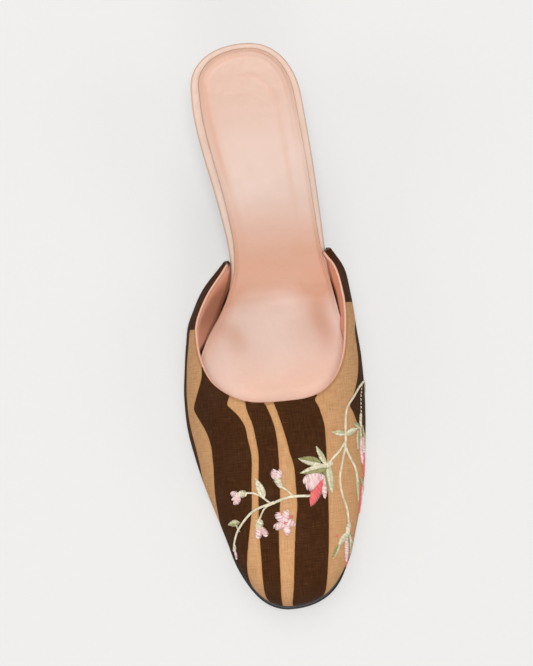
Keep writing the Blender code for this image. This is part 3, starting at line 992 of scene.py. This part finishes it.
def make_heel():
    seat_lift = sole_level(HEEL_MIDDLE, 0, -SEAM)
    lifts = np.linspace(HEEL_LOW, HEEL_HIGH, HEEL_RINGS + 1)
    heights = np.linspace(HEEL_LOW, seat_lift, HEEL_RINGS + 1)
    rings = []
    for lift, height in zip(lifts, heights):
        along, across = heel_ring(lift, 0).T
        slant = sole_level(along, across, -SEAM) - seat_lift
        rings.append(stacked(across, along, height + ramp(lift, HEEL_LEVEL, HEEL_HIGH) * slant))
    rim_along, rim_across = heel_ring(HEEL_HIGH, 0).T
    for share in HEEL_FILL:
        along, across = mix(HEEL_MIDDLE, rim_along, share), rim_across * share
        rings.append(stacked(across, along, sole_level(along, across, -SEAM)))
    points, faces = loft(rings)
    material = canvas_material("heel_canvas", printed=False, slub_run=0.7)
    make_piece("heel_cover", points, faces, material, "heel", maps={"weave": girth_map(rings)})


# The top piece from the floor up: lift, and how far its side is trimmed there.
TIP_EDGE = ((0, 0.7), (0.25, 0.3), (0.7, 0.05), (1.4, 0.0), (4.7, 0.0), (5.2, 0.1), (TIP_HEIGHT, 0.35))


def make_heel_tip():
    rings = []
    for lift, trim in TIP_EDGE:
        along, across = heel_ring(HEEL_LOW, trim).T
        rings.append(stacked(across, along, lift))
    points, faces = loft(rings)
    make_piece("heel_top_piece", points, faces, rubber_material(), "heel_tip")


# --- Embroidery ---

STEM_COLOUR = "cream"
STITCH_PITCH = 0.36
THREAD_WIDTH = 0.44
SCATTER = 0.1  # how far a satin stitch may end from its place
LEAF_HEIGHT, PETAL_HEIGHT = (0.22, 0.05), (0.28, 0.07)  # of the stitches: at no width, and added for each mm
MIDRIB_OVERLAP = 0.2
LEAST_HALF = 0.12  # half width of a leaf at its ends
PETAL_SLANT = np.array([0.225, -0.225])  # lead of a stitch's two ends, in widths of the petal
STEM_STEP = 1.05
STEM_STITCH = 2.3
STRAND = {"apart": 0.42, "lean": 0.16, "width": 0.52}  # a stem's strands, in widths of the stem
CHAIN_STEP = 1.7
KNOT_THREAD = 0.45
KNOT_ROUNDS = ((0.75, 0.3), (0.35, 0.55))  # share of the knot's radius, and height
NEAR = 0.3  # distance of the points that tell which way the canvas faces
THREAD_SIDES = 6
THREAD_FLAT = 0.85  # height of a thread over its width
THREAD_TAPER = np.array([0.5, 1, 1, 1, 0.5])
PATH_POINTS = len(THREAD_TAPER)

# Stems: width, and (along, around) of the line that they follow.
STEMS = (
    (1.0, ((154, 69), (149, 62), (149.5, 56), (151.5, 49), (156, 41), (159, 37), (164, 35), (175.5, 33.5))),
    (1.0, ((174.5, 33), (178, 29), (181.5, 24.5))),
    (1.0, ((176.5, 33), (184.5, 30), (191, 28.5), (198, 29.5), (204, 31.5), (212, 32.5))),
    (1.1, ((177, 33.5), (181, 35.5), (186, 38.5), (192, 40))),
    (1.15, ((196, 13), (195.5, 6), (196, 2), (198, -4.5))),
    (1.0, ((197.5, -4), (200, -11.5), (203, -15.5), (209, -21), (215.5, -25))),
    (0.8, ((195.5, 6), (192.5, 3.5), (190.5, 1))),
    (0.8, ((197, -5), (194, -8.5), (192.5, -11.5), (192, -14.5))),
    (0.8, ((198, -5), (200, -7.5), (204.5, -10))),
    (0.6, ((208.5, -20.5), (206, -21.5))),
    (1.0, ((196, 49.5), (202, 52.5), (208, 52), (214, 49), (220, 44.5))),
    (1.0, ((152, 71), (145, 72.5), (139, 71.5), (133, 73))),
)

# A dotted line of small chain stitches, in the same terms.
CHAINS = ((0.9, ((150.5, 54.5), (155, 51.5), (163.5, 49))),)

# Leaves with a midrib: (colour on its medial side, colour on its lateral side), width, base and tip.
LEAVES = (
    (("cream", "olive"), 4.1, (182, 19.5), (179, 9.5)),
    (("cream", "sage"), 2.6, (183, 22), (174.5, 18)),
    (("cream", "olive"), 4.4, (184, 23.5), (185.5, 10)),
    (("cream", "sage"), 4.0, (183.5, 23), (196, 24)),
    (("olive", "olive"), 2.4, (184.5, 21), (195, 22)),
    (("cream", "cream"), 3.5, (195, -7), (186, -10)),
    (("sage", "olive"), 3.0, (205, -19.5), (206, -26.5)),
    (("cream", "sage"), 2.7, (170.5, 33.5), (169, 26.5)),
    (("cream", "sage"), 2.8, (171, 34), (169, 43.5)),
    (("sage", "olive"), 2.4, (169, 47), (166.5, 41)),
    (("cream", "olive"), 2.2, (168.5, 47), (176, 47.5)),
    (("sage", "olive"), 2.4, (170, 44), (179, 42.5)),
    (("olive", "sage"), 2.4, (168, 49.5), (177.5, 51)),
    (("sage", "sage"), 1.9, (188.5, 39.5), (201.5, 40.5)),
    (("olive", "sage"), 1.7, (191.5, 42.5), (197, 46.5)),
    (("cream", "sage"), 2.9, (215, 31), (220.5, 25)),
    (("olive", "sage"), 2.3, (219.5, 26), (225.5, 22)),
    (("sage", "olive"), 2.8, (215.5, 33), (220.5, 36)),
    (("olive", "cream"), 2.3, (216, 32.5), (224.5, 34)),
    (("cream", "olive"), 3.2, (207, 52.5), (212.5, 57.5)),
    (("cream", "olive"), 2.6, (141, 72), (135.5, 69.5)),
    (("sage", "olive"), 2.6, (139, 72), (133.5, 75.5)),
)

# Solid petals, cups and buds: colour, width, base, tip, and whether the tip is rounded (1) or drawn out (0).
PETALS = (
    ("cream", 3.0, (182, 25), (184.5, 21.5), 0.9),
    ("pink", 5.6, (186.5, 19.5), (193.5, 12.5), 0.9),
    ("pink", 4.6, (186, 17.5), (190.5, 11), 0.9),
    ("pink", 3.1, (187.5, 20), (198, 20.5), 0.6),
    ("coral", 5.2, (188.5, 19.5), (201, 13.5), 0.15),
    ("cream", 3.6, (191, 1.5), (186, -1.5), 0.7),
    ("pink", 3.1, (187.5, 0), (183, 1), 0.8),
    ("pink", 3.1, (187, -1.5), (182.5, -2), 0.8),
    ("cream", 3.3, (192, -14.5), (193, -19), 0.8),
    ("pink", 3.0, (193, -18), (192, -22.5), 0.7),
    ("pink", 3.0, (193.5, -18), (197, -21), 0.7),
    ("pink", 2.0, (193, -18), (195, -22), 0.5),
    ("cream", 3.7, (204, -10), (209, -10.5), 0.8),
    ("pink", 3.1, (208, -11), (213, -11), 0.8),
    ("pink", 3.0, (208, -10), (212, -7), 0.8),
    ("cream", 2.3, (215, -24.5), (218.5, -26), 0.6),
    ("pink", 1.8, (217.5, -25.5), (222, -25.5), 0.4),
    ("pink", 3.5, (207, 1), (202, -2.5), 1.0),
    ("pink", 3.4, (207, 1.5), (201, 2.5), 1.0),
    ("pink", 3.5, (207, 1.5), (207.5, 6), 1.0),
    ("pink", 3.3, (207, 1.5), (212.5, 2.5), 1.0),
    ("pink", 3.5, (207, 1), (209, -4), 1.0),
    ("cream", 2.4, (162.5, 49), (169.5, 47.5), 0.6),
    ("pink", 3.0, (173.5, 46.5), (185.5, 46), 0.5),
    ("pink", 2.6, (173.5, 49), (183, 50), 0.5),
    ("coral", 2.6, (180.5, 48.5), (190.5, 47.5), 0.4),
    ("coral", 1.6, (194, 44.5), (198, 43.5), 0.5),
    ("pink", 2.2, (195.5, 45), (204, 45), 0.5),
    ("coral", 1.9, (198.5, 43.5), (207.5, 43), 0.4),
    ("cream", 3.1, (210.5, 32.5), (217, 31.5), 0.6),
    ("pink", 2.9, (217, 30.5), (228, 31.5), 0.5),
    ("coral", 2.3, (225, 31.5), (230.5, 33.5), 0.4),
    ("pink", 3.2, (219, 45), (227.5, 40.5), 0.6),
    ("coral", 2.4, (222, 44.5), (230, 41.5), 0.4),
    ("pink", 3.2, (132.5, 73), (123.5, 70.5), 0.6),
    ("coral", 2.4, (130, 73), (121.5, 71.5), 0.4),
)

# Knots: colour, radius and place.
KNOTS = (
    ("coral", 1.5, (207, 1.5)),
    ("coral", 0.6, (204.5, 4.5)),
    ("coral", 0.45, (215.5, 25)),
    ("coral", 0.45, (218, 36.5)),
    ("coral", 0.6, (191, 47)),
)

# Threads: the dark and the light shade of each colour.
THREADS = {
    "cream": ((0.52, 0.46, 0.29), (0.86, 0.80, 0.62)),
    "sage": ((0.42, 0.41, 0.23), (0.66, 0.62, 0.40)),
    "olive": ((0.20, 0.19, 0.065), (0.37, 0.35, 0.15)),
    "pink": ((0.64, 0.36, 0.35), (0.95, 0.76, 0.74)),
    "coral": ((0.64, 0.080, 0.085), (0.86, 0.19, 0.18)),
}

rng = random.Random(7)
stitches = {colour: [] for colour in THREADS}


def add_stitch(colour, path, width):
    """path is rows of (along, around, height); the stitch is resampled to PATH_POINTS of them."""
    path = np.array(path, float)
    at = np.linspace(0, len(path) - 1, PATH_POINTS)
    even = stacked(*(np.interp(at, range(len(path)), path[:, k]) for k in range(3)))
    stitches[colour].append((even, width, rng.random()))


def satin(colour, start, end, height):
    """One stitch from edge to edge, arched over its padding."""
    start, end = (at + [rng.uniform(-SCATTER, SCATTER) for _ in at] for at in (start, end))
    share = np.linspace(0, 1, PATH_POINTS)[:, None]
    arch = np.sin(math.pi * share) ** 0.6
    add_stitch(colour, np.hstack([mix(start, end, share), 0.02 + height * arch]), THREAD_WIDTH)


def square_to(direction):
    return np.array([-direction[1], direction[0]])


def shape_frame(base, tip):
    """A leaf's or petal's length, the direction across it, and place(share, aside) beside its midline."""
    base, run = np.array(base, float), np.subtract(tip, base)
    length = np.linalg.norm(run)
    side = square_to(run / length)
    return length, side, lambda share, aside: base + run * share + side * aside


def add_leaf(colours, width, base, tip):
    """Fishbone stitches: from the midrib out and forward to each edge."""
    length, side, place = shape_frame(base, tip)
    count = max(int(length / STITCH_PITCH), 4)
    reach = min(0.3 * width / length, 0.3)
    for colour, sign in zip(colours, (-1, 1)):
        sign *= 1 if side[1] > 0 else -1
        for share in np.linspace(0, 1, count + 1):
            out = min(share + reach * (1 - share), 1.0)
            half = max(width / 2 * math.sin(math.pi * out**0.8) ** 0.8, LEAST_HALF)
            start, end = place(max(share - 0.04, 0), -MIDRIB_OVERLAP * sign), place(out, half * sign)
            satin(colour, start, end, LEAF_HEIGHT[0] + LEAF_HEIGHT[1] * width)


def petal_half(share, width, blunt):
    """Half the width of a petal at a share of its length."""
    pointed = np.sin(math.pi * share**0.9) ** 0.8
    rounded = round_end(share, 0.45) * round_end(1 - share, 0.4)
    return width / 2 * mix(pointed, rounded, blunt)


def add_petal(colour, width, base, tip, blunt):
    """Slanted satin stitches from edge to edge."""
    length, _, place = shape_frame(base, tip)
    count = max(int(length / STITCH_PITCH), 5)
    slant = PETAL_SLANT * width / length
    for share in np.linspace(0, 1, count + 1):
        shares = np.clip(share + slant, 0, 1)
        left, right = petal_half(shares, width, blunt)
        height = PETAL_HEIGHT[0] + PETAL_HEIGHT[1] * width
        satin(colour, place(shares[0], left), place(shares[1], -right), height)


def curve_through(points, step):
    """Even points on a smooth curve through these ones, and its directions."""
    points = np.array(points, float)
    at = run_length(points)
    where = np.linspace(0, at[-1], max(int(at[-1] / step), 2) + 1)
    line = stacked(*(curve(at, points[:, k], where) for k in (0, 1)))
    return line, unit(np.gradient(line, axis=0))


def add_stem(width, points):
    """Stem stitch: two overlapping strands, each laid a little across the line."""
    line, direction = curve_through(points, STEM_STEP)
    for strand in (0, 1):
        offset = (strand - 0.5) * width * STRAND["apart"]
        height = 0.42 - 0.08 * abs(offset)
        for spot, ahead in zip(line, direction):
            across = square_to(ahead)
            middle = spot + across * offset + ahead * STEM_STEP * 0.5 * strand
            reach = ahead * STEM_STITCH / 2 + across * width * STRAND["lean"]
            heights = (0.0, height * 0.8, height, height * 0.9, 0.1)
            path = [(*(middle + reach * at), up) for at, up in zip((-1, -0.5, 0, 0.5, 1), heights)]
            add_stitch(STEM_COLOUR, path, width * STRAND["width"])


# One side of a chain stitch: distance ahead, distance aside in widths of the chain, and height.
CHAIN_LOOP = ((-0.65, 0, 0.0), (-0.3, 0.22, 0.35), (0.2, 0.3, 0.4), (0.6, 0, 0.1))


def add_chain(width, points):
    """Small separate loops in a row."""
    line, direction = curve_through(points, CHAIN_STEP)
    for spot, ahead in zip(line, direction):
        for aside in (-width * square_to(ahead), width * square_to(ahead)):
            path = [(*(spot + ahead * on + aside * out), up) for on, out, up in CHAIN_LOOP]
            add_stitch(STEM_COLOUR, path, width * 0.45)


def add_knot(colour, radius, spot):
    """A French knot: short strands piled round a point."""
    turns = max(int(radius * 9), 5)
    for k in range(turns):
        angle = 2 * math.pi * k / turns
        ray = np.array([math.cos(angle), math.sin(angle)])
        half = square_to(ray) * 0.5
        for share, height in KNOT_ROUNDS:
            near = np.array(spot) + ray * radius * share
            add_stitch(colour, [(*(near - half), 0.1), (*near, height), (*(near + half), 0.1)], KNOT_THREAD)


STATIONS = np.linspace(BODY["along"][0], INSOLE_LENGTH + SKIN - 0.3, 500)
RISES = np.linspace(0, 90, 181)


def from_ridge(side):
    """Distance round the section from the ridge, at each of the stations and rises."""
    from_sole = run_length(body(side == "lateral", STATIONS[:, None], RISES, SKIN))
    return from_sole[:, -1:] - from_sole


LENGTHS = {side: from_ridge(side) for side in ("medial", "lateral")}


def on_canvas(along, around):
    """Points (across, along, lift) of the canvas's outer face at these places."""
    at = np.clip((along - STATIONS[0]) / (STATIONS[1] - STATIONS[0]), 0, len(STATIONS) - 1.001)
    row, part = at.astype(int), at - at.astype(int)
    rise = np.empty(len(along))
    for i in range(len(along)):
        table = LENGTHS["lateral" if around[i] > 0 else "medial"]
        lengths = mix(table[row[i]], table[row[i] + 1], part[i])
        rise[i] = np.interp(abs(around[i]), lengths[::-1], RISES[::-1])
    return body(around > 0, along, rise, SKIN)


def tubes(paths, widths):
    """Points, faces and centre lines of tubes that follow the canvas, one for each path."""
    flat = paths.reshape(-1, 3)
    along, around = flat[:, 0], flat[:, 1]
    spot = on_canvas(along, around)
    ahead = on_canvas(along + NEAR, around) - spot
    beside = on_canvas(along, around + NEAR) - spot
    normal = turned_out(unit(np.cross(ahead, beside)), spot)
    centre = (spot + normal * flat[:, 2:]).reshape(paths.shape)
    line = unit(np.gradient(centre, axis=1))
    side = unit(np.cross(line, normal.reshape(paths.shape)))
    lift = unit(np.cross(side, line))
    turn = 2 * math.pi * np.arange(THREAD_SIDES) / THREAD_SIDES
    half = (widths[:, None] / 2 * THREAD_TAPER)[..., None, None]
    ring = side[:, :, None] * np.cos(turn)[:, None] + lift[:, :, None] * THREAD_FLAT * np.sin(turn)[:, None]
    points = centre[:, :, None] + half * ring
    number = np.arange(points.size // 3).reshape(points.shape[:3])
    after = np.roll(number, -1, axis=2)
    quads = stacked(number[:, :-1], after[:, :-1], after[:, 1:], number[:, 1:]).reshape(-1, 4)
    caps = np.concatenate([number[:, 0, ::-1], number[:, -1]])
    return points.reshape(-1, 3), quads.tolist() + caps.tolist(), centre


def thread_maps(centre):
    """Each strand's length and turn for its twist, and a cell of its own in the baked texture."""
    count = len(centre)
    length = run_length(centre)
    strand = np.zeros((count, PATH_POINTS - 1, THREAD_SIDES, 4, 2))
    cell = np.zeros_like(strand)
    per_row = math.ceil(math.sqrt(count))
    corner_of = stacked(np.arange(count) % per_row, np.arange(count) // per_row) + 0.1
    column, row = corner_of.T[..., None, None]
    for corner, (step, turned) in enumerate(((0, 0), (0, 1), (1, 1), (1, 0))):
        angle = (np.arange(THREAD_SIDES) + turned) / THREAD_SIDES
        share = (np.arange(PATH_POINTS - 1) + step) / (PATH_POINTS - 1)
        strand[..., corner, 0] = length[:, step : step + PATH_POINTS - 1, None]
        strand[..., corner, 1] = angle
        cell[..., corner, 0] = (column + 0.8 * share[None, :, None]) / per_row
        cell[..., corner, 1] = (row + 0.8 * angle) / per_row
    caps = np.tile(np.repeat(corner_of / per_row, THREAD_SIDES, axis=0), (2, 1))
    return {
        "OFBake": np.concatenate([cell.reshape(-1, 2), caps]),
        "strand": np.concatenate([strand.reshape(-1, 2), np.zeros_like(caps)]),
    }


def make_threads(colour):
    """One mesh of all the strands of a colour."""
    paths, widths, shades = (np.array(column) for column in zip(*stitches[colour]))
    points, faces, centre = tubes(paths, widths)
    values = {"shade": np.repeat(shades, PATH_POINTS * THREAD_SIDES)}
    material = thread_material("thread_" + colour, *THREADS[colour])
    make_piece("embroidery_" + colour, points, faces, material, "upper", values, thread_maps(centre))


def make_embroidery():
    tables = {add_stem: STEMS, add_chain: CHAINS, add_leaf: LEAVES, add_petal: PETALS, add_knot: KNOTS}
    for add, table in tables.items():
        for row in table:
            add(*row)
    for colour in THREADS:
        make_threads(colour)


# --- Setting ---

CAMERA_PLACE = (-41.0, 120.8, 1100.0)  # across, along, lift
CAMERA_RIGHT = (0.9953, -0.0968, 0.0)
AIM = (-0.5, 123.5, 24.0)
LENS = 132.0
LONG_SIDE = 36.0
CLIP = (0.05, 50)  # metres

# The set is in metres. The lights are disks: place, size and power in watts.
FLOOR_HALF = 8.0
FLOOR_DROP = 0.00002  # keeps the floor just clear of the shoe
SKY = {"Color": (0.97, 0.985, 1.0, 1), "Strength": 0.26}
LIGHT_COLOUR = (1.0, 0.992, 0.982)
LIGHTS = (
    ("overhead", (-0.06, 0.1, 2.1), 0.4, 21.5),
    ("back", (-0.12, 1.02, 1.93), 1.5, 17.0),
    ("front", (0.05, -1.8, 1.4), 1.0, 11.0),
    ("medial", (-1.7, 0.1, 1.3), 1.2, 5.5),
    ("lateral", (1.5, -0.1, 1.45), 1.2, 4.2),
)
LIGHT_AIM = (0, 0, 0.03)


def make_camera():
    data = bpy.data.cameras.new("camera")
    data.sensor_width = LONG_SIDE
    data.lens = LENS
    data.clip_start, data.clip_end = CLIP
    camera = add_object("camera", data)
    place, aim = Vector(world(CAMERA_PLACE)), Vector(world(AIM))
    back = (place - aim).normalized()
    up = back.cross(Vector(CAMERA_RIGHT)).normalized()
    right = up.cross(back)
    turn = Matrix((right, up, back)).transposed()
    camera.matrix_world = Matrix.Translation(place) @ turn.to_4x4()
    bpy.context.scene.camera = camera


def make_light(name, place, size, power):
    data = bpy.data.lights.new(name, "AREA")
    data.shape = "DISK"
    data.size = size
    data.energy = power
    data.color = LIGHT_COLOUR
    light = add_object(name, data)
    light.location = place
    light.rotation_euler = (Vector(place) - Vector(LIGHT_AIM)).to_track_quat("Z", "Y").to_euler()


def make_floor():
    mesh = bpy.data.meshes.new("floor")
    corners = ((-1, -1), (1, -1), (1, 1), (-1, 1))
    mesh.from_pydata([(x * FLOOR_HALF, y * FLOOR_HALF, -FLOOR_DROP) for x, y in corners], [], [(0, 1, 2, 3)])
    mesh.materials.append(floor_material())
    floor = add_object("floor", mesh)


def make_setting():
    make_floor()
    for light in LIGHTS:
        make_light(*light)
    sky = bpy.data.worlds.new("studio")
    sky.use_nodes = True
    for socket, value in SKY.items():
        sky.node_tree.nodes["Background"].inputs[socket].default_value = value
    bpy.context.scene.world = sky
    bpy.context.scene.view_settings.view_transform = "Standard"


make_outsole()
make_insole()
make_sock()
make_lining()
make_upper()
make_heel()
make_heel_tip()
make_embroidery()
make_setting()
make_camera()
